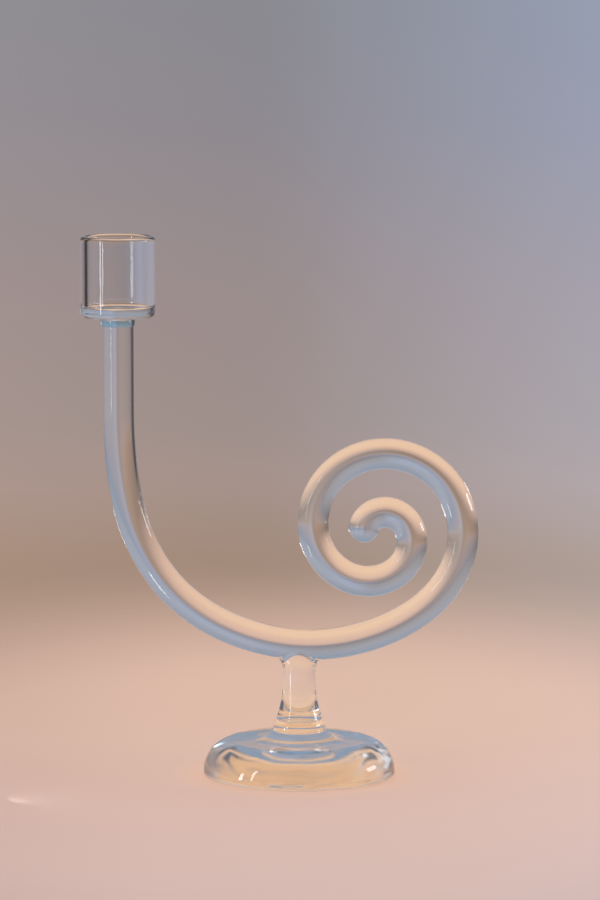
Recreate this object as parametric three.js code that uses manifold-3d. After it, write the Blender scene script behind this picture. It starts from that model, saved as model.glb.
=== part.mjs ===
// Clear glass candlestick: one candle cup on a bent rod that ends in a scroll, on a stem and a round foot.
// Millimetres, +Z up, origin at the centre of the foot's flat underside. The scroll lies in the plane y = 0.
// Each piece is worked hot and sealed to the next one; here every seal is left as a thin gap.
import * as THREE from 'three';
import { mergeVertices } from 'three/addons/utils/BufferGeometryUtils.js';
import Module from 'manifold-3d';

const wasm = await Module();
wasm.setup();

// ---------------------------------------------------------------- driving dimensions
const SEAL_GAP = 0.3;
const ROD_RADIUS = 6;

const FOOT_RADIUS = 37;
const FOOT_CONTACT_RADIUS = 35.8;
const FOOT_EDGE_HEIGHT = 2.2; // height of the foot's widest line
const FOOT_CROWN_RADIUS = 25.5; // the crown is nearly level inside this radius
const FOOT_CROWN_HEIGHT = 13.8;
const BOSS_RADIUS = 10;
const BOSS_TOP = 17.3;
const BOSS_FILLET_RADIUS = 19; // where the hollow round the boss runs out into the crown
const BOSS_FILLET_HOLLOW = 2.5; // how far the hollow's deepest bend stands off the boss

const STEM_BASE_HEIGHT = 4.3;
const STEM_BASE_TOP_RADIUS = 8.95;
const STEM_BASE_BULGE = 0.3; // how far its side would stand out past its bottom edge
const STEM_BOTTOM_RADIUS = 8.8;
const STEM_WAIST_RADIUS = 6.3;
const STEM_SHOULDER_RADIUS = 7.6; // where the stem opens out under the rod
const STEM_SHOULDER_HEIGHT = 44.6;
const STEM_TOP = 46.4;
// Where the stem is how much wider than its waist, between its bottom and its shoulder.
const STEM_FLARE = [
  { height: 24.9, extra: 1.65 },
  { height: 29, extra: 0.7 },
  { height: 36, extra: 0 },
  { height: 41, extra: 0.2 },
];

const ARM_X = -69; // axis of the upright arm and of the candle cup
const ARM_TOP = 173;
const BEND_START_HEIGHT = 141; // the arm is straight above this
const TIP_HEADING = 615; // direction of the rod's tip, degrees, after one and three quarter turns

// The rod runs down the arm, round the bottom and into the scroll. Its centreline has these bend radii
// where it points in these directions: degrees from +X towards +Z, so -90 is down, 0 is to the right.
// Between two of them the radius changes evenly with the direction.
const BENDS = [
  { heading: -90, radius: 225 },
  { heading: -75, radius: 79 },
  { heading: -45, radius: 58 },
  { heading: -20, radius: 78 },
  { heading: 20, radius: 75 },
  { heading: 45, radius: 41.5 },
  { heading: 90, radius: 31.5 },
  { heading: 180, radius: 29 },
  { heading: 270, radius: 25 },
  { heading: 360, radius: 19 },
  { heading: 450, radius: 13 },
  { heading: 540, radius: 9 },
  { heading: TIP_HEADING, radius: 7 },
];

const COLLAR_HEIGHT = 3;
const COLLAR_BULGE = 0.5; // how far the collar stands out past the rod
const CUP_RADIUS = 14.25;
const CUP_BORE_RADIUS = 11.75; // takes a 22 mm candle
const CUP_BASE_THICKNESS = 3;
const CUP_BASE_EDGE_RADIUS = 2.2;
const CUP_SEAT_RISE = 0.6; // the base fills the foot of the bore to this height, and the candle stands on it
const CUP_TOP = 207.5;

const TURNED_SIDES = 48; // facets round the foot, the stem and the cup
const COLLAR_SIDES = 32;
const ROD_SIDES = 16;

// ---------------------------------------------------------------- glass
const clearGlass = () => new THREE.MeshStandardMaterial({ color: 0xdde5e8, roughness: 0.04, metalness: 0 });
const footGlass = () => new THREE.MeshStandardMaterial({ color: 0xd3dfe2, roughness: 0.05, metalness: 0 });

// ---------------------------------------------------------------- helpers
/** Points along part of an ellipse, in the (radius, height) half-plane. Angles in degrees. */
function arc(centreRadius, centreHeight, semiRadius, semiHeight, from, to, steps) {
  return Array.from({ length: steps + 1 }, (_, i) => {
    const angle = THREE.MathUtils.degToRad(THREE.MathUtils.lerp(from, to, i / steps));
    return new THREE.Vector2(
      centreRadius + semiRadius * Math.cos(angle),
      centreHeight + semiHeight * Math.sin(angle),
    );
  });
}

const at = (radius, height) => new THREE.Vector2(radius, height);

/** A solid of revolution about the Z axis from its (radius, height) profile, listed from the bottom up. */
function turned(profile, sides = TURNED_SIDES) {
  return new THREE.LatheGeometry(profile, sides).rotateX(Math.PI / 2);
}

/** Position along one bend at a heading, before the bend's own starting point is taken off. */
function bendIntegral(heading, radius, radiusPerRadian) {
  return new THREE.Vector2(
    radius * Math.sin(heading) + radiusPerRadian * Math.cos(heading),
    -radius * Math.cos(heading) + radiusPerRadian * Math.sin(heading),
  );
}

/** The bends in radians, each with its length and the place where it starts. */
function layOutBends() {
  const bends = [];
  let start = new THREE.Vector2(ARM_X, BEND_START_HEIGHT);
  for (let i = 0; i + 1 < BENDS.length; i++) {
    const heading = THREE.MathUtils.degToRad(BENDS[i].heading);
    const sweep = THREE.MathUtils.degToRad(BENDS[i + 1].heading) - heading;
    const growth = (BENDS[i + 1].radius - BENDS[i].radius) / sweep;
    const length = (sweep * (BENDS[i].radius + BENDS[i + 1].radius)) / 2;
    const bend = { heading, sweep, growth, length, radius: BENDS[i].radius, start };
    bends.push(bend);
    start = pointOnBend(bend, sweep).place;
  }
  return bends;
}

/** Place, heading and bend radius after turning through an angle of one bend. */
function pointOnBend(bend, turn) {
  const heading = bend.heading + turn;
  const radius = bend.radius + bend.growth * turn;
  const place = bendIntegral(heading, radius, bend.growth)
    .sub(bendIntegral(bend.heading, bend.radius, bend.growth))
    .add(bend.start);
  return { place, heading, radius };
}

const bends = layOutBends();
const STRAIGHT_LENGTH = ARM_TOP - BEND_START_HEIGHT;
const CENTRELINE_LENGTH = STRAIGHT_LENGTH + bends.reduce((sum, bend) => sum + bend.length, 0);

/** Place (x, z), heading and bend radius of the rod's centreline at a distance from the arm's top. */
function centreline(distance) {
  if (distance <= STRAIGHT_LENGTH) {
    return { place: at(ARM_X, ARM_TOP - distance), heading: -Math.PI / 2, radius: Infinity };
  }
  let left = distance - STRAIGHT_LENGTH;
  for (const bend of bends) {
    if (left <= bend.length) {
      // length = radius * turn + growth * turn^2 / 2, solved for turn
      const root = Math.sqrt(bend.radius ** 2 + 2 * bend.growth * left);
      return pointOnBend(bend, (2 * left) / (bend.radius + root));
    }
    left -= bend.length;
  }
  const last = bends[bends.length - 1];
  const end = pointOnBend(last, last.sweep);
  const straightOn = at(Math.cos(end.heading), Math.sin(end.heading)).multiplyScalar(left);
  return { place: end.place.add(straightOn), heading: end.heading, radius: Infinity };
}

/** Distances along the centreline for the rod's rows of facets: closer together where it bends tightly. */
function rowDistances() {
  const LONGEST_STEP = 6;
  const STEP_PER_RADIUS = 0.21;
  const distances = [0];
  let distance = 0;
  while (distance < CENTRELINE_LENGTH - 1) {
    distance += Math.min(LONGEST_STEP, STEP_PER_RADIUS * centreline(distance + 1).radius);
    distances.push(Math.min(distance, CENTRELINE_LENGTH));
  }
  return distances;
}

/** Bends a straight turned rod, whose axis is +Y from y = 0, along the centreline. */
function bendAlongCentreline(geometry) {
  const position = geometry.attributes.position;
  for (let i = 0; i < position.count; i++) {
    const inPlane = position.getX(i);
    const { place, heading } = centreline(position.getY(i));
    position.setXYZ(
      i,
      place.x - inPlane * Math.sin(heading),
      position.getZ(i),
      place.y + inPlane * Math.cos(heading),
    );
  }
  geometry.computeVertexNormals();
  return geometry;
}

/** A round rod of this radius along the centreline, with a flat top and a round tip. */
function bentRod(radius, sides = ROD_SIDES) {
  const TIP_STEPS = 5;
  const flank = rowDistances().map((distance) => at(radius, distance));
  const tip = arc(0, CENTRELINE_LENGTH, radius, radius, 0, 90, TIP_STEPS).slice(1, -1);
  const profile = [at(0, 0), ...flank, ...tip, at(0, CENTRELINE_LENGTH + radius)];
  return bendAlongCentreline(new THREE.LatheGeometry(profile, sides));
}

function toSolid(geometry) {
  const bare = new THREE.BufferGeometry();
  bare.setAttribute('position', geometry.attributes.position.clone());
  bare.setIndex(geometry.index.clone());
  const merged = mergeVertices(bare, 1e-4);
  return new wasm.Manifold(
    new wasm.Mesh({
      numProp: 3,
      vertProperties: new Float32Array(merged.attributes.position.array),
      triVerts: new Uint32Array(merged.index.array),
    }),
  );
}

/** The first geometry with the second one cut out of it. */
function cut(geometry, tool) {
  const mesh = toSolid(geometry).subtract(toSolid(tool)).getMesh();
  const result = new THREE.BufferGeometry();
  result.setAttribute('position', new THREE.BufferAttribute(mesh.vertProperties, 3));
  result.setIndex(new THREE.BufferAttribute(mesh.triVerts, 1));
  result.computeVertexNormals();
  return result;
}

// ---------------------------------------------------------------- the pieces
/** Solid disc with a flat underside, a rounded edge, a nearly level crown and a boss in its middle. */
function makeFoot() {
  const edgeWidth = FOOT_RADIUS - FOOT_CONTACT_RADIUS;
  const shoulderWidth = FOOT_RADIUS - FOOT_CROWN_RADIUS;
  const shoulderHeight = FOOT_CROWN_HEIGHT - FOOT_EDGE_HEIGHT;
  const bossFillet = new THREE.QuadraticBezierCurve(
    at(BOSS_FILLET_RADIUS, FOOT_CROWN_HEIGHT + 0.2),
    at(BOSS_RADIUS + BOSS_FILLET_HOLLOW, FOOT_CROWN_HEIGHT + 0.3),
    at(BOSS_RADIUS, BOSS_TOP),
  );
  return turned([
    at(0, 0),
    ...arc(FOOT_CONTACT_RADIUS, FOOT_EDGE_HEIGHT, edgeWidth, FOOT_EDGE_HEIGHT, -90, 0, 4),
    ...arc(FOOT_CROWN_RADIUS, FOOT_EDGE_HEIGHT, shoulderWidth, shoulderHeight, 0, 90, 9).slice(1),
    ...bossFillet.getPoints(5),
    at(0, BOSS_TOP),
  ]);
}

/** Short cone of glass that the stem is sealed to. */
function makeStemBase() {
  const bottom = BOSS_TOP + SEAL_GAP;
  const flank = new THREE.QuadraticBezierCurve(
    at(BOSS_RADIUS, bottom),
    at(BOSS_RADIUS + STEM_BASE_BULGE, bottom + STEM_BASE_HEIGHT * 0.65),
    at(STEM_BASE_TOP_RADIUS, bottom + STEM_BASE_HEIGHT),
  );
  return turned([at(0, bottom), ...flank.getPoints(3), at(0, bottom + STEM_BASE_HEIGHT)]);
}

/** Short upright rod, flared at both ends; its top is a saddle that fits the underside of the bent rod. */
function makeStem() {
  const bottom = BOSS_TOP + STEM_BASE_HEIGHT + 2 * SEAL_GAP;
  const flank = new THREE.SplineCurve([
    at(STEM_BOTTOM_RADIUS, bottom),
    ...STEM_FLARE.map(({ height, extra }) => at(STEM_WAIST_RADIUS + extra, height)),
    at(STEM_SHOULDER_RADIUS, STEM_SHOULDER_HEIGHT),
  ]);
  const blank = turned([
    at(0, bottom),
    ...flank.getPoints(14),
    at(ROD_RADIUS + SEAL_GAP, STEM_TOP),
    at(0, STEM_TOP),
  ]);
  return cut(blank, bentRod(ROD_RADIUS + SEAL_GAP));
}

/** Small ring of glass that seals the cup to the top of the arm. */
function makeCupCollar() {
  const bottom = ARM_TOP + SEAL_GAP;
  const middle = bottom + COLLAR_HEIGHT / 2;
  const side = arc(ROD_RADIUS, middle, COLLAR_BULGE, COLLAR_HEIGHT / 2, -90, 90, 6);
  return turned([at(0, bottom), ...side, at(0, bottom + COLLAR_HEIGHT)], COLLAR_SIDES);
}

const CUP_BASE_BOTTOM = ARM_TOP + COLLAR_HEIGHT + 2 * SEAL_GAP;
const CUP_BASE_TOP = CUP_BASE_BOTTOM + CUP_BASE_THICKNESS;

/** Thick disc that closes the cup, with a rounded lower edge and a low flat seat inside the bore. */
function makeCupBase() {
  const edgeRadius = CUP_BASE_EDGE_RADIUS;
  const seatRadius = CUP_BORE_RADIUS - SEAL_GAP;
  const seatHeight = CUP_BASE_TOP + CUP_SEAT_RISE;
  return turned([
    at(0, CUP_BASE_BOTTOM),
    ...arc(CUP_RADIUS - edgeRadius, CUP_BASE_BOTTOM + edgeRadius, edgeRadius, edgeRadius, -90, 0, 5),
    at(CUP_RADIUS, CUP_BASE_TOP),
    at(seatRadius, CUP_BASE_TOP),
    at(seatRadius, seatHeight),
    at(0, seatHeight),
  ]);
}

/** Straight tube that holds the candle, with a flame-rounded rim. */
function makeCupTube() {
  const bottom = CUP_BASE_TOP + SEAL_GAP;
  const rimRadius = (CUP_RADIUS - CUP_BORE_RADIUS) / 2;
  const rim = arc(CUP_RADIUS - rimRadius, CUP_TOP - rimRadius, rimRadius, rimRadius, 0, 180, 8);
  return turned([at(CUP_BORE_RADIUS, bottom), at(CUP_RADIUS, bottom), ...rim, at(CUP_BORE_RADIUS, bottom)]);
}

// ---------------------------------------------------------------- assembly
function piece(name, geometry, material) {
  const mesh = new THREE.Mesh(geometry, material);
  mesh.name = name;
  return mesh;
}

const candlestick = new THREE.Group();
candlestick.add(piece('foot', makeFoot(), footGlass()));
candlestick.add(piece('stem_base', makeStemBase(), clearGlass()));
candlestick.add(piece('stem', makeStem(), clearGlass()));
candlestick.add(piece('scroll_rod', bentRod(ROD_RADIUS), clearGlass()));

const candleHolder = new THREE.Group();
candleHolder.position.x = ARM_X;
candleHolder.add(piece('cup_collar', makeCupCollar(), clearGlass()));
candleHolder.add(piece('cup_base', makeCupBase(), clearGlass()));
candleHolder.add(piece('cup_tube', makeCupTube(), clearGlass()));
candlestick.add(candleHolder);

export default candlestick;
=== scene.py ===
"""Clear glass scroll candlestick: the smooth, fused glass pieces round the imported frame, in metres."""
import math

import bpy
import numpy as np
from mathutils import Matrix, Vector, noise


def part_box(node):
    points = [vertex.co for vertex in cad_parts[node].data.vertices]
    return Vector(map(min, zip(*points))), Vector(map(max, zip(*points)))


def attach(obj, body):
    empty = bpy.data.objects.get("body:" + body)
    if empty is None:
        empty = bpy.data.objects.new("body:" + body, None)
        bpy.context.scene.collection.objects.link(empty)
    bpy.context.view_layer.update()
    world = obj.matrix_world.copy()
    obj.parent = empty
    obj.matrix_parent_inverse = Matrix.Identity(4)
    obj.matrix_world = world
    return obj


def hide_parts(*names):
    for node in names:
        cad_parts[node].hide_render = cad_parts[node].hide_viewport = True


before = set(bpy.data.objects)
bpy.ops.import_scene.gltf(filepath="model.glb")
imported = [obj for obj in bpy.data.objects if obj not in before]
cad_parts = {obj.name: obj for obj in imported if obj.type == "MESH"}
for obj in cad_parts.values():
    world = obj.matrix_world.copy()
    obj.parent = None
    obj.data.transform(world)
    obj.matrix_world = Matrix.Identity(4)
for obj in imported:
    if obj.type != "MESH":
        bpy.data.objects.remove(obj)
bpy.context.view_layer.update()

MM = 0.001

# ---------------------------------------------------------------- sizes that the frame gives
foot_low, foot_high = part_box("foot")
stem_base_low, stem_base_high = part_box("stem_base")
rod_low, rod_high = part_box("scroll_rod")
collar_low, collar_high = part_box("cup_collar")
cup_base_low, cup_base_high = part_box("cup_base")
cup_low, cup_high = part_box("cup_tube")

FOOT_RADIUS = (foot_high.x - foot_low.x) / 2
ROD_RADIUS = (rod_high.y - rod_low.y) / 2
COLLAR_RADIUS = (collar_high.x - collar_low.x) / 2
CUP_RADIUS = (cup_high.x - cup_low.x) / 2
ARM_X = (cup_low.x + cup_high.x) / 2
CUP_FLOOR = cup_base_high.z
CUP_TOP = cup_high.z

# Each seal of the real object is a thin gap between two CAD nodes. The glass meets half-way.
STEM_SEAL_GAP = 0.3 * MM
BOSS_SEAL = (foot_high.z + stem_base_low.z) / 2
STEM_SEAL = stem_base_high.z + STEM_SEAL_GAP / 2
COLLAR_SEAL = (rod_high.z + collar_low.z) / 2
CUP_SEAL = (collar_high.z + cup_base_low.z) / 2

# ---------------------------------------------------------------- sizes of the glass work
FOOT_CONTACT_RADIUS = 35.8 * MM
FOOT_EDGE_HEIGHT = 2.2 * MM
FOOT_CROWN_RADIUS = 25.5 * MM
FOOT_CROWN_HEIGHT = 13.8 * MM
DISH_RADIUS = 33 * MM  # the shallow dish under the foot, which keeps it from rocking
DISH_DEPTH = 1.4 * MM
FOOT_WAVES = 0.6 * MM  # how deep the waves in the foot's surface are
WAVE_LENGTH = 16 * MM
WAVES_START = 3 * MM  # the waves are at their full depth from this height
WAVES_FADE = (13.9 * MM, 16 * MM)  # and end between these two

BOSS_RADIUS = 10 * MM
BOSS_FILLET_RADIUS = 19 * MM  # where the foot starts to rise to its boss
BOSS_FILLET_RISE = 0.2 * MM
BOSS_KNEE = (2.5 * MM, 0.3 * MM)  # the fillet's sharpest place: out from the boss, up from the crown
GROOVE = 0.15 * MM  # radius of the rounded lips of the seal on top of the foot

STEM_BASE_BULGE = 0.45 * MM
STEM_BASE_BULGE_PLACE = 0.55  # share of the stem base's height
STEM_BASE_RUN_IN = 1.1 * MM  # the last stretch of the stem base leads straight on into the stem
STEM_BOTTOM_RADIUS = 8.8 * MM
STEM_WAIST_RADIUS = 6.25 * MM
STEM_FLARE_HEIGHT = 8.4 * MM  # the flare dies away over this height, faster the higher it is
STEM_FLARE_CURVE = 0.68
STEM_LOFT_HEIGHT = 39.5 * MM  # above this the stem opens out to fit the rod
STEM_LOFT_PULL = 0.36  # how far the loft's curve keeps its direction at either end
SEAM_HALF_LENGTH = 8.1 * MM  # the saddle's reach along the rod, from the stem's axis
SEAM_HALF_ANGLE = math.radians(70)  # and round the rod, from its underside

CUP_BORE_RADIUS = 11.75 * MM
CUP_BASE_EDGE_RADIUS = 2.2 * MM
INNER_FILLET = 1.1 * MM
CUP_WALL_SEAL = CUP_FLOOR + INNER_FILLET

BEND_START_HEIGHT = 141 * MM
BENDS = [  # the rod's bend radius in mm where it points this way in degrees, as in the CAD model
    (-90, 225), (-75, 79), (-45, 58), (-20, 78), (20, 75), (45, 41.5), (90, 31.5),
    (180, 29), (270, 25), (360, 19), (450, 13), (540, 9), (615, 7),
]

GLASS, SEAM, UNDERSIDE = 0, 1, 2  # material slots on every piece


# ---------------------------------------------------------------- helpers for node trees
def add_nodes(tree, **kinds):
    """New nodes in a dictionary, by the names they are given here."""
    return {name: tree.nodes.new(kind) for name, kind in kinds.items()}


def join(tree, *links):
    """Connects sockets. Each link is (node, its output, node, its input)."""
    for source, output, target, socket in links:
        tree.links.new(source.outputs[output], target.inputs[socket])


def set_range(node, low, high, to_low=0.0, to_high=1.0):
    for socket, value in zip(("From Min", "From Max", "To Min", "To Max"), (low, high, to_low, to_high)):
        node.inputs[socket].default_value = value


def set_blend(node, colour=None, colour_2=None):
    node.data_type = "RGBA"
    for socket, value in (("A", colour), ("B", colour_2)):
        if value:
            node.inputs[socket].default_value = (*value, 1)


def set_ramp(node, stops, low, high, interpolation="LINEAR"):
    """Colours at values between low and high."""
    ramp = node.color_ramp
    ramp.interpolation = interpolation
    while len(ramp.elements) < len(stops):
        ramp.elements.new(0.5)
    for element, (value, colour) in zip(ramp.elements, stops):
        element.position = (value - low) / (high - low)
        element.color = (*colour, 1)


# ---------------------------------------------------------------- materials
GLASS_IOR = 1.474  # borosilicate glass
CLOUD_SCALE = 40  # of the noise in the tint
LINES_SCALE = 60  # of the draw lines or ripples
SMUDGE_SCALE = 90  # of the uneven polish
SMUDGE_START, SMUDGE_END = 0.45, 0.75  # which part of that noise counts as worse polished


def make_seam_material():
    """The hidden faces where two pieces are fused: light goes straight through them."""
    material = bpy.data.materials.new("fused_seam")
    material.use_nodes = True
    tree = material.node_tree
    tree.nodes.clear()
    n = add_nodes(tree, out="ShaderNodeOutputMaterial", clear="ShaderNodeBsdfTransparent")
    join(tree, (n["clear"], "BSDF", n["out"], "Surface"))
    return material


def make_glass(name, tint, tint_2, stretch, wave_height, roughness=(0.0, 0.01)):
    """Clear glass: a faint uneven tint, polish that varies, and draw lines or ripples in its surface."""
    material = bpy.data.materials.new(name)
    material.use_nodes = True
    tree = material.node_tree
    shader = tree.nodes["Principled BSDF"]
    shader.inputs["Transmission Weight"].default_value = 1.0
    shader.inputs["IOR"].default_value = GLASS_IOR
    n = add_nodes(
        tree, place="ShaderNodeTexCoord", scale="ShaderNodeMapping", cloud="ShaderNodeTexNoise",
        mix="ShaderNodeMix", lines="ShaderNodeTexNoise", bump="ShaderNodeBump",
        smudge="ShaderNodeTexNoise", rough="ShaderNodeMapRange",
    )
    n["scale"].inputs["Scale"].default_value = stretch
    n["cloud"].inputs["Scale"].default_value = CLOUD_SCALE
    n["lines"].inputs["Scale"].default_value = LINES_SCALE
    n["lines"].inputs["Detail"].default_value = 1.0
    n["smudge"].inputs["Scale"].default_value = SMUDGE_SCALE
    n["bump"].inputs["Strength"].default_value = 1.0
    n["bump"].inputs["Distance"].default_value = wave_height
    set_blend(n["mix"], tint, tint_2)
    set_range(n["rough"], SMUDGE_START, SMUDGE_END, *roughness)
    join(
        tree,
        (n["place"], "Object", n["cloud"], "Vector"),
        (n["cloud"], "Fac", n["mix"], "Factor"),
        (n["mix"], "Result", shader, "Base Color"),
        (n["place"], "Object", n["scale"], "Vector"),
        (n["scale"], "Vector", n["lines"], "Vector"),
        (n["lines"], "Fac", n["bump"], "Height"),
        (n["bump"], "Normal", shader, "Normal"),
        (n["place"], "Object", n["smudge"], "Vector"),
        (n["smudge"], "Fac", n["rough"], "Value"),
        (n["rough"], "Result", shader, "Roughness"),
    )
    return material


SEAM_MATERIAL = make_seam_material()
FOOT_GLASS = make_glass(
    "hand_worked_glass", (0.935, 0.965, 0.965), (0.96, 0.985, 0.985), (1, 1, 1.6), 0.02 * MM)
GROUND_GLASS = make_glass(
    "ground_underside", (0.935, 0.965, 0.965), (0.96, 0.985, 0.985), (1, 1, 1), 0.02 * MM, (0.07, 0.13))
ROD_GLASS = make_glass(
    "drawn_rod_glass", (0.965, 0.98, 0.99), (0.99, 0.995, 1.0), (1, 1, 1), 0.01 * MM)
COLLAR_GLASS = make_glass(
    "collar_glass", (0.58, 0.84, 0.93), (0.64, 0.87, 0.95), (1, 1, 1), 0.01 * MM)
CUP_GLASS = make_glass(  # its ripples are stretched into upright draw lines
    "drawn_tube_glass", (0.955, 0.975, 0.99), (0.985, 0.992, 1.0), (6, 6, 0.15), 0.008 * MM)


# ---------------------------------------------------------------- meshes from rings of points
def skin(name, rings, kinds, material):
    """A mesh over a list of rings of points. kinds has the material slot of each span between two rings;
    one span more than that closes the last ring onto the first."""
    points = np.concatenate(rings)
    starts = np.cumsum([0] + [len(ring) for ring in rings])
    faces, slots = [], []
    for i, kind in enumerate(kinds):
        a, b = rings[i], rings[(i + 1) % len(rings)]
        a0, b0 = starts[i], starts[(i + 1) % len(rings)]
        count = max(len(a), len(b))
        for j in range(count):
            k = (j + 1) % count
            if len(a) == 1:
                faces.append((a0, b0 + k, b0 + j))
            elif len(b) == 1:
                faces.append((a0 + j, a0 + k, b0))
            else:
                faces.append((a0 + j, a0 + k, b0 + k, b0 + j))
            slots.append(kind)
    return finish_mesh(name, points, faces, slots, material)


def finish_mesh(name, points, faces, slots, material):
    mesh = bpy.data.meshes.new(name)
    mesh.from_pydata([tuple(p) for p in points], [], faces)
    mesh.materials.append(material)
    mesh.materials.append(SEAM_MATERIAL)
    mesh.materials.append(GROUND_GLASS)
    mesh.polygons.foreach_set("material_index", np.array(slots, dtype=np.int32))
    mesh.validate()
    mesh.shade_smooth()
    mesh.set_sharp_from_angle(angle=math.radians(40))
    piece = bpy.data.objects.new(name, mesh)
    bpy.context.scene.collection.objects.link(piece)
    return piece


def circle(radius, height, sides, centre_x=0.0):
    """A level ring of points. On the axis it is a single point."""
    if radius < 1e-9:
        return np.array([[centre_x, 0.0, height]])
    angle = np.linspace(0, 2 * math.pi, sides, endpoint=False)
    return np.stack(
        [centre_x + radius * np.cos(angle), radius * np.sin(angle), np.full(sides, height)], axis=1)


def turned(name, profile, sides, material, centre_x=0.0, closed=False, warp=None):
    """A solid of revolution. The profile is a list of (radius, height, slot of the span up to here)."""
    rings = [circle(radius, height, sides, centre_x) for radius, height, _ in profile]
    if warp:
        rings = [np.array([warp(Vector(point)) for point in ring]) for ring in rings]
    kinds = [kind for _, _, kind in profile[1:]]
    if closed:
        kinds.append(profile[0][2])
    return skin(name, rings, kinds, material)


def arc(centre_radius, centre_height, semi_radius, semi_height, start, end, steps):
    """Points (radius, height) along part of an ellipse. Angles in degrees."""
    angle = np.radians(np.linspace(start, end, steps + 1))
    radii = centre_radius + semi_radius * np.cos(angle)
    heights = centre_height + semi_height * np.sin(angle)
    return list(zip(radii, heights))


def bezier(points, steps):
    t = np.linspace(0, 1, steps + 1)[:, None]
    p = [np.array(q, float) for q in points]
    while len(p) > 1:
        p = [a * (1 - t) + b * t for a, b in zip(p, p[1:])]
    return [tuple(q) for q in p[0]]


def of_kind(points, kind=GLASS):
    return [(radius, height, kind) for radius, height in points]


# ---------------------------------------------------------------- the rod's centreline
def lay_out_bends():
    """The bends in radians and metres, each with its length and its starting place."""
    bends, start = [], np.array([ARM_X, BEND_START_HEIGHT])
    for (heading, radius), (next_heading, next_radius) in zip(BENDS, BENDS[1:]):
        heading, next_heading = math.radians(heading), math.radians(next_heading)
        radius, next_radius = radius * MM, next_radius * MM
        sweep = next_heading - heading
        bend = {
            "heading": heading, "radius": radius, "growth": (next_radius - radius) / sweep,
            "length": sweep * (radius + next_radius) / 2, "sweep": sweep, "start": start,
        }
        bends.append(bend)
        start = point_on_bend(bend, sweep)[0]
    return bends


def bend_integral(heading, radius, growth):
    return np.array([
        radius * math.sin(heading) + growth * math.cos(heading),
        growth * math.sin(heading) - radius * math.cos(heading),
    ])


def point_on_bend(bend, turn):
    """Place (x, z) and heading after this much of the bend's turn."""
    heading = bend["heading"] + turn
    radius = bend["radius"] + bend["growth"] * turn
    start = bend_integral(bend["heading"], bend["radius"], bend["growth"])
    return bend["start"] + bend_integral(heading, radius, bend["growth"]) - start, heading


bends = lay_out_bends()
STRAIGHT_LENGTH = COLLAR_SEAL - BEND_START_HEIGHT
CENTRELINE_LENGTH = STRAIGHT_LENGTH + sum(bend["length"] for bend in bends)


def centreline(distance):
    """Place (x, z) and heading of the rod's centreline at a distance from the arm's top."""
    if distance <= STRAIGHT_LENGTH:
        return np.array([ARM_X, COLLAR_SEAL - distance]), -math.pi / 2
    left = distance - STRAIGHT_LENGTH
    for bend in bends:
        if left <= bend["length"]:
            root = math.sqrt(bend["radius"] ** 2 + 2 * bend["growth"] * left)
            return point_on_bend(bend, 2 * left / (bend["radius"] + root))
        left -= bend["length"]
    end, heading = point_on_bend(bends[-1], bends[-1]["sweep"])
    return end + left * np.array([math.cos(heading), math.sin(heading)]), heading


def on_rod(distance, angle, radius=ROD_RADIUS):
    """A point of the rod's surface, by distance along it and angle round it from its underside."""
    (x, z), heading = centreline(distance)
    below = radius * math.cos(angle)
    return np.array([
        x + below * math.sin(heading), radius * math.sin(angle), z - below * math.cos(heading)])


def distance_over_stem():
    """How far along the centreline the rod passes over the stem's axis."""
    low, high = STRAIGHT_LENGTH, CENTRELINE_LENGTH / 2
    while high - low > 1e-7:
        middle = (low + high) / 2
        low, high = (middle, high) if centreline(middle)[0][0] < 0 else (low, middle)
    return low


STEM_DISTANCE = distance_over_stem()


# ---------------------------------------------------------------- the foot and the stem
def make_foot():
    edge_width = FOOT_RADIUS - FOOT_CONTACT_RADIUS
    crown_width = FOOT_RADIUS - FOOT_CROWN_RADIUS
    crown_rise = FOOT_CROWN_HEIGHT - FOOT_EDGE_HEIGHT
    knee_out, knee_up = BOSS_KNEE
    dish = arc(0, 0, DISH_RADIUS, DISH_DEPTH, 90, 0, 48)
    edge = arc(FOOT_CONTACT_RADIUS, FOOT_EDGE_HEIGHT, edge_width, FOOT_EDGE_HEIGHT, -90, 0, 12)
    shoulder = arc(FOOT_CROWN_RADIUS, FOOT_EDGE_HEIGHT, crown_width, crown_rise, 0, 90, 48)[1:]
    boss = bezier([
        (BOSS_FILLET_RADIUS, FOOT_CROWN_HEIGHT + BOSS_FILLET_RISE),
        (BOSS_RADIUS + knee_out, FOOT_CROWN_HEIGHT + knee_up),
        (BOSS_RADIUS, BOSS_SEAL - GROOVE),
    ], 24)
    groove = arc(BOSS_RADIUS - GROOVE, BOSS_SEAL - GROOVE, GROOVE, GROOVE, 0, 90, 8)[1:]
    profile = of_kind(dish + edge[:1], UNDERSIDE) + of_kind(edge[1:] + shoulder + boss + groove)
    profile += [(0, BOSS_SEAL, SEAM)]
    return turned("glass_foot", profile, 256, FOOT_GLASS, warp=press_unevenly)


def smooth_step(value, low, high):
    t = min(max((value - low) / (high - low), 0), 1)
    return t * t * (3 - 2 * t)


def press_unevenly(point):
    """The hot foot was pressed by hand: broad shallow waves, which fade out at its rim and its boss."""
    share = smooth_step(point.z, 0, WAVES_START) * (1 - smooth_step(point.z, *WAVES_FADE))
    broad = noise.noise(point / WAVE_LENGTH)
    narrow = noise.noise(point / (WAVE_LENGTH / 2) + Vector((3, 5, 7)))
    depth = share * FOOT_WAVES * (0.4 + 0.4 * (broad + 0.5 * narrow))
    outward = Vector((point.x, point.y, 2 * point.z)).normalized()
    return point - outward * depth


def stem_radius(height):
    """The stem widens towards its foot."""
    widening = STEM_BOTTOM_RADIUS - STEM_WAIST_RADIUS
    rise = (height - STEM_SEAL) / STEM_FLARE_HEIGHT
    return STEM_WAIST_RADIUS + widening * math.exp(-rise - STEM_FLARE_CURVE * rise ** 2)


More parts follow.
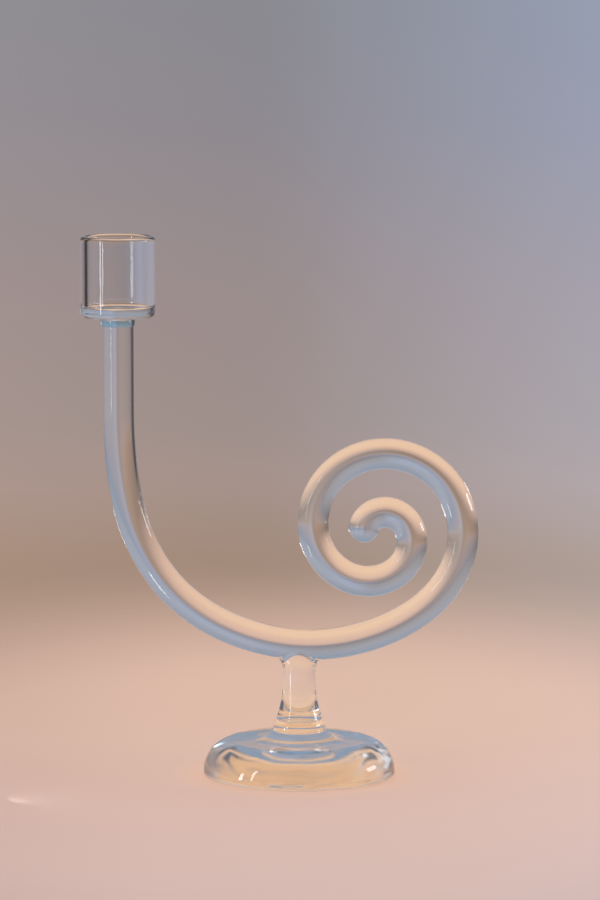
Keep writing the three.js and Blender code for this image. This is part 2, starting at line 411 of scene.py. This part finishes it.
def make_stem_base():
    height = STEM_SEAL - BOSS_SEAL
    step = 0.1 * MM
    slope = (stem_radius(STEM_SEAL) - stem_radius(STEM_SEAL + step)) / step
    groove = arc(BOSS_RADIUS - GROOVE, BOSS_SEAL + GROOVE, GROOVE, GROOVE, -90, 0, 8)
    flank = bezier([
        (BOSS_RADIUS, BOSS_SEAL + GROOVE),
        (BOSS_RADIUS + STEM_BASE_BULGE, BOSS_SEAL + STEM_BASE_BULGE_PLACE * height),
        (STEM_BOTTOM_RADIUS + slope * STEM_BASE_RUN_IN, STEM_SEAL - STEM_BASE_RUN_IN),
        (STEM_BOTTOM_RADIUS, STEM_SEAL),
    ], 24)[1:]
    profile = [(0, BOSS_SEAL, SEAM), (groove[0][0], BOSS_SEAL, SEAM)] + of_kind(groove[1:] + flank)
    return turned("glass_stem_base", profile + [(0, STEM_SEAL, SEAM)], 192, ROD_GLASS)


def make_stem():
    sides = 192
    angles = np.linspace(0, 2 * math.pi, sides, endpoint=False)
    heights = np.linspace(STEM_SEAL, STEM_LOFT_HEIGHT, 50)
    rings = [np.array([[0.0, 0.0, STEM_SEAL]])]
    rings += [circle(stem_radius(height), height, sides) for height in heights]
    kinds = [SEAM] + [GLASS] * (len(heights) - 1)
    loft = [loft_to_rod(angle, rings[-1][i]) for i, angle in enumerate(angles)]
    for step in range(1, len(loft[0])):
        rings.append(np.array([curve[step] for curve in loft]))
        kinds.append(GLASS)
    for share in np.linspace(1, 0, 9)[1:-1]:
        rings.append(np.array([saddle_point(angle, share) for angle in angles]))
        kinds.append(SEAM)
    rings.append(np.array([on_rod(STEM_DISTANCE, 0)]))
    kinds.append(SEAM)
    return skin("glass_stem", rings, kinds, ROD_GLASS)


def saddle_point(angle, share=1.0):
    """A point of the stem's saddle on the rod: share 1 is its outline."""
    along = STEM_DISTANCE + share * SEAM_HALF_LENGTH * math.cos(angle)
    return on_rod(along, share * SEAM_HALF_ANGLE * math.sin(angle))


def loft_to_rod(angle, start, steps=24):
    """A curve up the stem's side that ends along the rod's surface, at the saddle's outline."""
    end = saddle_point(angle)
    outward = saddle_point(angle, 1.01) - end
    outward /= np.linalg.norm(outward)
    pull = STEM_LOFT_PULL * np.linalg.norm(end - start)
    return bezier([start, start + pull * np.array([0, 0, 1.0]), end - pull * outward, end], steps)


# ---------------------------------------------------------------- the bent rod
ROW_SPACING = 0.8 * MM
ROW_SPACING_NEAR_STEM = 0.3 * MM
NEAR_STEM = 11 * MM
SNAP_TO_SADDLE = 0.035  # points this near the saddle's outline, as a share of it, move onto it


def rod_rows():
    """Distances of the rod's rings: close together where the stem meets it."""
    rows, distance = [], 0.0
    while distance < CENTRELINE_LENGTH - 0.1 * MM:
        rows.append(distance)
        near = abs(distance - STEM_DISTANCE) < NEAR_STEM
        distance += ROW_SPACING_NEAR_STEM if near else ROW_SPACING
    return rows + [CENTRELINE_LENGTH]


def make_rod():
    sides = 128
    angles = np.linspace(0, 2 * math.pi, sides, endpoint=False)
    rings, kinds = [np.array([[ARM_X, 0.0, COLLAR_SEAL]])], [SEAM]
    saddle_shares = []  # of each ring's points: under 1 is inside the stem's saddle
    for distance in rod_rows():
        ring, shares = [], []
        for angle in angles:
            turn = (angle + math.pi) % (2 * math.pi) - math.pi
            along = distance - STEM_DISTANCE
            share = math.hypot(along / SEAM_HALF_LENGTH, turn / SEAM_HALF_ANGLE)
            if abs(share - 1) < SNAP_TO_SADDLE:
                along, turn, share = along / share, turn / share, 1.0
            ring.append(on_rod(STEM_DISTANCE + along, turn))
            shares.append(share)
        rings.append(np.array(ring))
        saddle_shares.append(shares)
        kinds.append(GLASS)
    tip_steps = 28
    for step in range(1, tip_steps):
        slope = math.pi / 2 * step / tip_steps
        distance = CENTRELINE_LENGTH + ROD_RADIUS * math.sin(slope)
        radius = ROD_RADIUS * math.cos(slope)
        rings.append(np.array([on_rod(distance, angle, radius) for angle in angles]))
        kinds.append(GLASS)
    rings.append(np.array([on_rod(CENTRELINE_LENGTH + ROD_RADIUS, 0, 0)]))
    piece = skin("glass_scroll_rod", rings, kinds, ROD_GLASS)
    mark_saddle(piece, np.array(saddle_shares), sides)
    return piece


def mark_saddle(piece, shares, sides):
    """Gives the rod's faces under the stem's saddle the seam's material."""
    slots = np.zeros(len(piece.data.polygons), dtype=np.int32)
    piece.data.polygons.foreach_get("material_index", slots)
    ahead = np.roll(shares, -1, axis=1)
    middle = (shares[:-1] + shares[1:] + ahead[:-1] + ahead[1:]) / 4
    first = sides  # the faces of the flat top come first
    slots[first:first + middle.size] = np.where(middle.ravel() < 1, SEAM, GLASS)
    piece.data.polygons.foreach_set("material_index", slots)


# ---------------------------------------------------------------- the candle cup
def make_collar():
    middle = (COLLAR_SEAL + CUP_SEAL) / 2
    half = (CUP_SEAL - COLLAR_SEAL) / 2
    side = arc(ROD_RADIUS, middle, COLLAR_RADIUS - ROD_RADIUS, half, -90, 90, 24)
    profile = [(0, COLLAR_SEAL, SEAM), (side[0][0], side[0][1], SEAM)] + of_kind(side[1:])
    profile += [(0, CUP_SEAL, SEAM)]
    return turned("glass_cup_collar", profile, 160, COLLAR_GLASS, ARM_X)


def make_cup_base():
    rounding = CUP_BASE_EDGE_RADIUS
    edge = arc(CUP_RADIUS - rounding, CUP_SEAL + rounding, rounding, rounding, -90, 0, 20)
    fillet = arc(CUP_BORE_RADIUS - INNER_FILLET, CUP_WALL_SEAL, INNER_FILLET, INNER_FILLET, 0, -90, 12)
    profile = [(0, CUP_SEAL, SEAM), (ROD_RADIUS, CUP_SEAL, SEAM)] + of_kind(edge)
    profile += [(CUP_RADIUS, CUP_WALL_SEAL, GLASS), (fillet[0][0], fillet[0][1], SEAM)]
    profile += of_kind(fillet[1:]) + [(0, CUP_FLOOR, GLASS)]
    return turned("glass_cup_base", profile, 192, CUP_GLASS, ARM_X)


def make_cup_tube():
    rim_radius = (CUP_RADIUS - CUP_BORE_RADIUS) / 2
    rim_height = CUP_TOP - rim_radius
    rim = arc(CUP_RADIUS - rim_radius, rim_height, rim_radius, rim_radius, 0, 180, 24)
    heights = np.linspace(CUP_WALL_SEAL, rim_height, 20)
    outer = [(CUP_RADIUS, height) for height in heights]
    inner = [(CUP_BORE_RADIUS, height) for height in heights[::-1]]
    profile = of_kind(outer[:-1] + rim + inner[1:])
    profile[0] = (CUP_RADIUS, CUP_WALL_SEAL, SEAM)
    return turned("glass_cup_tube", profile, 192, CUP_GLASS, ARM_X, closed=True)


PIECES = [  # piece, the CAD node it stands for, its finish
    (make_foot, "foot", "foot_glass"),
    (make_stem_base, "stem_base", "stem_glass"),
    (make_stem, "stem", "stem_glass"),
    (make_rod, "scroll_rod", "rod_glass"),
    (make_collar, "cup_collar", "rod_glass"),
    (make_cup_base, "cup_base", "cup_glass"),
    (make_cup_tube, "cup_tube", "cup_glass"),
]
for make, node, finish in PIECES:
    glass_piece = make()
    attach(glass_piece, "root")
    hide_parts(node)


# ---------------------------------------------------------------- the studio: floor
FLOOR_DROP = 0.05 * MM  # the air film under the foot
FLOOR_RINGS = (0, 0.1, 0.2, 0.3, 0.4, 0.5, 0.6)  # radii
FLOOR_FADE_START, FLOOR_FADE_END = 0.21, 0.58  # distance from the object
FLOOR_STRETCH = (1.5, 1, 1)  # the floor fades sooner at the sides
FLOOR_COLOUR = (0.78, 0.50, 0.36, 1)
FLOOR_ROUGHNESS = 0.8
FLOOR_SHINE = 0.2
FLOOR_PAINTED_GLOW_LOW = (0.30, 0.185, 0.135)  # painted light: emission the floor gives off of its own, seen along its surface
FLOOR_PAINTED_GLOW_STEEP = (0.45, 0.27, 0.13)  # and seen from above: painted light, brighter and yellower
GLANCING, STEEP = 0.80, 0.50  # where one of them turns into the other, 1 being edge on
HALF_WIDTH, HALF_DEPTH = 0.16, 0.25
FLOOR_PAINTED_LIGHT_ACROSS = [  # how the painted emission changes across the picture, from left to right: painted light, darker at the left and bluer at the right
    (-HALF_WIDTH, (0.72, 0.72, 0.78)), (-0.05, (0.98, 1.0, 1.03)), (0.05, (1.02, 1.08, 1.12)),
    (HALF_WIDTH, (1.05, 1.22, 1.45)),
]
FLOOR_PAINTED_LIGHT_ALONG = [  # and from the camera to the wall: painted light, bluer near the camera
    (-HALF_DEPTH, (0.76, 0.93, 1.35)), (-0.08, (0.93, 1.0, 1.22)), (0.1, (1.0, 1.0, 1.0)),
    (HALF_DEPTH, (1.02, 1.0, 0.98)),
]
FLOOR_PAINTED_CAUSTIC = (1.18, 1.07, 0.93)  # painted caustic: the warm light that the foot gathers round itself, painted into the floor's emission
FLOOR_PAINTED_CAUSTIC_END = 0.053


def make_floor():
    """A pale, matt floor with painted light: part of its light is emission of its own, brighter and
    yellower seen from above, changing across and along it and stronger round the foot; it fades into the
    room.
    """
    material = bpy.data.materials.new("pale_floor_with_painted_light")
    material.use_nodes = True
    tree = material.node_tree
    shader = tree.nodes["Principled BSDF"]
    shader.inputs["Roughness"].default_value = FLOOR_ROUGHNESS
    shader.inputs["Specular IOR Level"].default_value = FLOOR_SHINE
    shader.inputs["Base Color"].default_value = FLOOR_COLOUR
    # painted light: the floor gives off light of its own, on top of what the lamps and the room give it
    shader.inputs["Emission Strength"].default_value = 1.0
    n = add_nodes(
        tree, place="ShaderNodeTexCoord", split="ShaderNodeSeparateXYZ", facing="ShaderNodeLayerWeight",
        steep="ShaderNodeMapRange", glow="ShaderNodeMix",
        across="ShaderNodeMapRange", side="ShaderNodeValToRGB", wide="ShaderNodeVectorMath",
        along="ShaderNodeMapRange", depth="ShaderNodeValToRGB", deep="ShaderNodeVectorMath",
        reach="ShaderNodeVectorMath", ring="ShaderNodeMapRange", warm="ShaderNodeMix",
        warmer="ShaderNodeVectorMath", stretch="ShaderNodeMapping", length="ShaderNodeVectorMath",
        fade="ShaderNodeMapRange", clear="ShaderNodeBsdfTransparent", mix="ShaderNodeMixShader",
    )
    for name in ("wide", "deep", "warmer"):
        n[name].operation = "MULTIPLY"
    for name in ("reach", "length"):
        n[name].operation = "LENGTH"
    for name in ("ring", "fade"):
        n[name].interpolation_type = "SMOOTHSTEP"
    set_range(n["steep"], GLANCING, STEEP)
    set_blend(n["glow"], FLOOR_PAINTED_GLOW_LOW, FLOOR_PAINTED_GLOW_STEEP)
    # painted light: the emission changes across the floor and along it
    set_range(n["across"], -HALF_WIDTH, HALF_WIDTH)
    set_ramp(n["side"], FLOOR_PAINTED_LIGHT_ACROSS, -HALF_WIDTH, HALF_WIDTH)
    set_range(n["along"], -HALF_DEPTH, HALF_DEPTH)
    set_ramp(n["depth"], FLOOR_PAINTED_LIGHT_ALONG, -HALF_DEPTH, HALF_DEPTH)
    # painted caustic: the emission is brighter and yellower round the foot's rim, fading out a little
    # beyond it
    set_range(n["ring"], FLOOR_PAINTED_CAUSTIC_END, FOOT_RADIUS)
    set_blend(n["warm"], (1, 1, 1), FLOOR_PAINTED_CAUSTIC)
    n["stretch"].inputs["Scale"].default_value = FLOOR_STRETCH
    set_range(n["fade"], FLOOR_FADE_START, FLOOR_FADE_END)
    join(
        tree,
        (n["facing"], "Facing", n["steep"], "Value"),
        (n["steep"], "Result", n["glow"], "Factor"),
        (n["place"], "Object", n["split"], 0),
        (n["split"], "X", n["across"], "Value"),
        (n["across"], "Result", n["side"], "Fac"),
        (n["glow"], "Result", n["wide"], 0),
        (n["side"], "Color", n["wide"], 1),
        (n["split"], "Y", n["along"], "Value"),
        (n["along"], "Result", n["depth"], "Fac"),
        (n["wide"], "Vector", n["deep"], 0),
        (n["depth"], "Color", n["deep"], 1),
        (n["place"], "Object", n["reach"], 0),
        (n["reach"], "Value", n["ring"], "Value"),
        (n["ring"], "Result", n["warm"], "Factor"),
        (n["deep"], "Vector", n["warmer"], 0),
        (n["warm"], "Result", n["warmer"], 1),
        (n["warmer"], "Vector", shader, "Emission Color"),
        (n["place"], "Object", n["stretch"], "Vector"),
        (n["stretch"], "Vector", n["length"], 0),
        (n["length"], "Value", n["fade"], "Value"),
        (n["fade"], "Result", n["mix"], "Fac"),
        (shader, "BSDF", n["mix"], 1),
        (n["clear"], "BSDF", n["mix"], 2),
        (n["mix"], "Shader", tree.nodes["Material Output"], "Surface"),
    )
    rings = [circle(radius, -FLOOR_DROP, 128) for radius in FLOOR_RINGS]
    floor = skin("floor", rings, [GLASS] * (len(rings) - 1), material)


# ---------------------------------------------------------------- the studio: the room's light
def linear(red, green, blue):
    """A screen colour as the renderer's linear light."""
    return [((v / 255 + 0.055) / 1.055) ** 2.4 for v in (red, green, blue)]


WALL_LOW, WALL_HIGH = -0.2, 1.0
WALL = [  # the wall behind, by height: the sine of the direction's angle above the horizon
    (WALL_LOW, linear(150, 128, 114)), (-0.144, linear(163, 139, 123)), (-0.137, linear(164, 142, 130)),
    (-0.128, linear(166, 146, 139)), (-0.116, linear(159, 144, 139)), (-0.09, linear(155, 141, 140)),
    (-0.053, linear(143, 138, 144)), (-0.028, linear(139, 138, 144)), (0.02, linear(150, 147, 149)),
    (0.17, linear(155, 157, 166)), (0.34, linear(154, 160, 175)), (0.56, linear(142, 156, 174)),
    (0.85, linear(125, 156, 186)), (WALL_HIGH, linear(118, 155, 190)),
]
EVEN = (0.5, 0.5, 0.5)
SIDES = [  # the sides' light, by the direction's share to the right: EVEN is as much as the wall
    (-1.0, (0.25, 0.25, 0.25)), (-0.6, (0.45, 0.45, 0.45)), (-0.3, (0.56, 0.55, 0.54)),
    (-0.08, (0.57, 0.55, 0.54)), (-0.02, (0.49, 0.49, 0.49)), (0.01, (0.50, 0.51, 0.52)),
    (0.085, (0.64, 0.77, 0.95)), (0.22, (0.56, 0.63, 0.70)), (1.0, (0.60, 0.70, 0.80)),
]
SIDES_TOP = 0.35  # above this height the sides are no lighter than the middle
FRONT_SHARE = 0.35  # how bright the room is behind the camera, beside the wall
FRONT_START = -0.5  # the direction's share away from the wall at which it is that dim


def make_world():
    """A plain room: a mauve wall behind, cool daylight to the right and above, darker in front."""
    world = bpy.data.worlds.new("studio")
    bpy.context.scene.world = world
    world.use_nodes = True
    tree = world.node_tree
    background = tree.nodes["Background"]
    background.inputs["Strength"].default_value = 1 / EVEN[0]
    n = add_nodes(
        tree, place="ShaderNodeTexCoord", split="ShaderNodeSeparateXYZ",
        height="ShaderNodeMapRange", wall="ShaderNodeValToRGB",
        across="ShaderNodeMapRange", sides="ShaderNodeValToRGB",
        low_down="ShaderNodeMapRange", even="ShaderNodeMix", tint="ShaderNodeVectorMath",
        front="ShaderNodeMapRange", dim="ShaderNodeVectorMath",
    )
    set_range(n["height"], WALL_LOW, WALL_HIGH)
    set_ramp(n["wall"], WALL, WALL_LOW, WALL_HIGH)
    set_range(n["across"], -1.0, 1.0)
    set_ramp(n["sides"], SIDES, -1.0, 1.0, "B_SPLINE")
    set_range(n["low_down"], 0.0, SIDES_TOP, 1.0, 0.0)
    set_blend(n["even"], EVEN)
    set_range(n["front"], FRONT_START, 0.0, FRONT_SHARE, 1.0)
    n["tint"].operation = "MULTIPLY"
    n["dim"].operation = "SCALE"
    join(
        tree,
        (n["place"], "Generated", n["split"], 0),
        (n["split"], "Z", n["height"], "Value"),
        (n["height"], "Result", n["wall"], "Fac"),
        (n["split"], "X", n["across"], "Value"),
        (n["across"], "Result", n["sides"], "Fac"),
        (n["split"], "Z", n["low_down"], "Value"),
        (n["low_down"], "Result", n["even"], "Factor"),
        (n["sides"], "Color", n["even"], "B"),
        (n["wall"], "Color", n["tint"], 0),
        (n["even"], "Result", n["tint"], 1),
        (n["split"], "Y", n["front"], "Value"),
        (n["tint"], "Vector", n["dim"], 0),
        (n["front"], "Result", n["dim"], "Scale"),
        (n["dim"], "Vector", background, "Color"),
    )


# ---------------------------------------------------------------- the studio: lamps, card, camera
DAYLIGHT = (0.86, 0.93, 1.0)
LAMPS = [
    {  # soft light on the floor, which the glass doesn't mirror
        "name": "overhead_softbox", "place": (0.2, 0.1, 1.3), "target": (0, 0, 0),
        "size": (1.6, 1.6), "power": 9, "colour": (1.0, 0.93, 0.88), "mirrored": False,
    },
    {  # the upright streaks in the cup and the arm
        "name": "window", "place": (-0.75, -0.52, 0.32), "target": (0, 0, 0.1),
        "size": (0.06, 0.6), "power": 1.2, "colour": DAYLIGHT,
    },
    {  # the bright patches in the foot's right shoulder
        "name": "side_window", "place": (0.85, 0.10, 0.275), "target": (0, 0, 0),
        "size": (0.30, 0.17), "power": 1.3, "colour": (0.84, 0.95, 1.0), "lights_floor": False,
    },
    {  # the same streak low down, on the stem
        "name": "low_window", "place": (-0.108, -0.053, 0.018), "target": (0, 0, 0.018),
        "size": (0.009, 0.036), "power": 0.014, "colour": DAYLIGHT,
        "lights_floor": False, "seen_through": False,
    },
]
CARD_NEAR, CARD_FAR = (-0.125, 0.078), (-0.40, 0.10)  # x and y of its upright edges
CARD_LOW, CARD_HIGH = 0.085, 0.26
CARD_SOFT_EDGE = 0.035
CARD_COLOUR = (0.03, 0.03, 0.035, 1)
CAMERA_PLACE = (0.3 * MM, -1.8, 0.346)
CAMERA_DROP = 6.98  # degrees below the horizon
CAMERA_LENS = 189.8


def add_lamp(name, place, target, size, power, colour, mirrored=True, lights_floor=True, seen_through=True):
    light = bpy.data.lights.new(name, "AREA")
    light.shape = "RECTANGLE"
    light.size, light.size_y = size
    light.energy = power
    light.color = colour
    light.use_shadow = mirrored
    lamp = bpy.data.objects.new(name, light)
    lamp.location = place
    lamp.rotation_euler = (Vector(target) - Vector(place)).to_track_quat("-Z", "Y").to_euler()
    lamp.visible_camera = False
    lamp.visible_glossy = mirrored
    lamp.visible_transmission = mirrored and seen_through
    lamp.visible_diffuse = lights_floor
    bpy.context.scene.collection.objects.link(lamp)


def make_dark_card():
    """A black card just outside the picture, which gives the arm and the cup their dark edges."""
    corners = [(*edge, height) for height, edge in (
        (CARD_LOW, CARD_NEAR), (CARD_LOW, CARD_FAR), (CARD_HIGH, CARD_FAR), (CARD_HIGH, CARD_NEAR))]
    mesh = bpy.data.meshes.new("dark_card")
    mesh.from_pydata(corners, [], [(0, 1, 2, 3)])
    material = bpy.data.materials.new("dark_card")
    material.use_nodes = True
    tree = material.node_tree
    shader = tree.nodes["Principled BSDF"]
    shader.inputs["Base Color"].default_value = CARD_COLOUR
    n = add_nodes(
        tree, place="ShaderNodeTexCoord", split="ShaderNodeSeparateXYZ", edge="ShaderNodeMapRange",
        clear="ShaderNodeBsdfTransparent", mix="ShaderNodeMixShader",
    )
    set_range(n["edge"], CARD_NEAR[0] - CARD_SOFT_EDGE, CARD_NEAR[0])
    join(
        tree,
        (n["place"], "Object", n["split"], 0),
        (n["split"], "X", n["edge"], "Value"),
        (n["edge"], "Result", n["mix"], "Fac"),
        (shader, "BSDF", n["mix"], 1),
        (n["clear"], "BSDF", n["mix"], 2),
        (n["mix"], "Shader", tree.nodes["Material Output"], "Surface"),
    )
    mesh.materials.append(material)
    card = bpy.data.objects.new("dark_card", mesh)
    card.visible_camera = False
    card.visible_shadow = False
    bpy.context.scene.collection.objects.link(card)


def make_camera():
    camera = bpy.data.cameras.new("camera")
    camera.lens = CAMERA_LENS
    camera.sensor_width = 36
    camera.clip_end = 20
    eye = bpy.data.objects.new("camera", camera)
    eye.location = CAMERA_PLACE
    eye.rotation_euler = (math.radians(90 - CAMERA_DROP), 0, 0)
    bpy.context.scene.collection.objects.link(eye)
    bpy.context.scene.camera = eye


def let_light_through():
    """Light that turns many times inside the glass still gets out, instead of ending in black."""
    cycles = bpy.context.scene.cycles
    cycles.max_bounces = 32
    cycles.glossy_bounces = 16
    cycles.transmission_bounces = 32
    cycles.transparent_max_bounces = 32


make_floor()
make_world()
make_dark_card()
for lamp_settings in LAMPS:
    add_lamp(**lamp_settings)
make_camera()
let_light_through()
bpy.context.scene.view_settings.view_transform = "Standard"
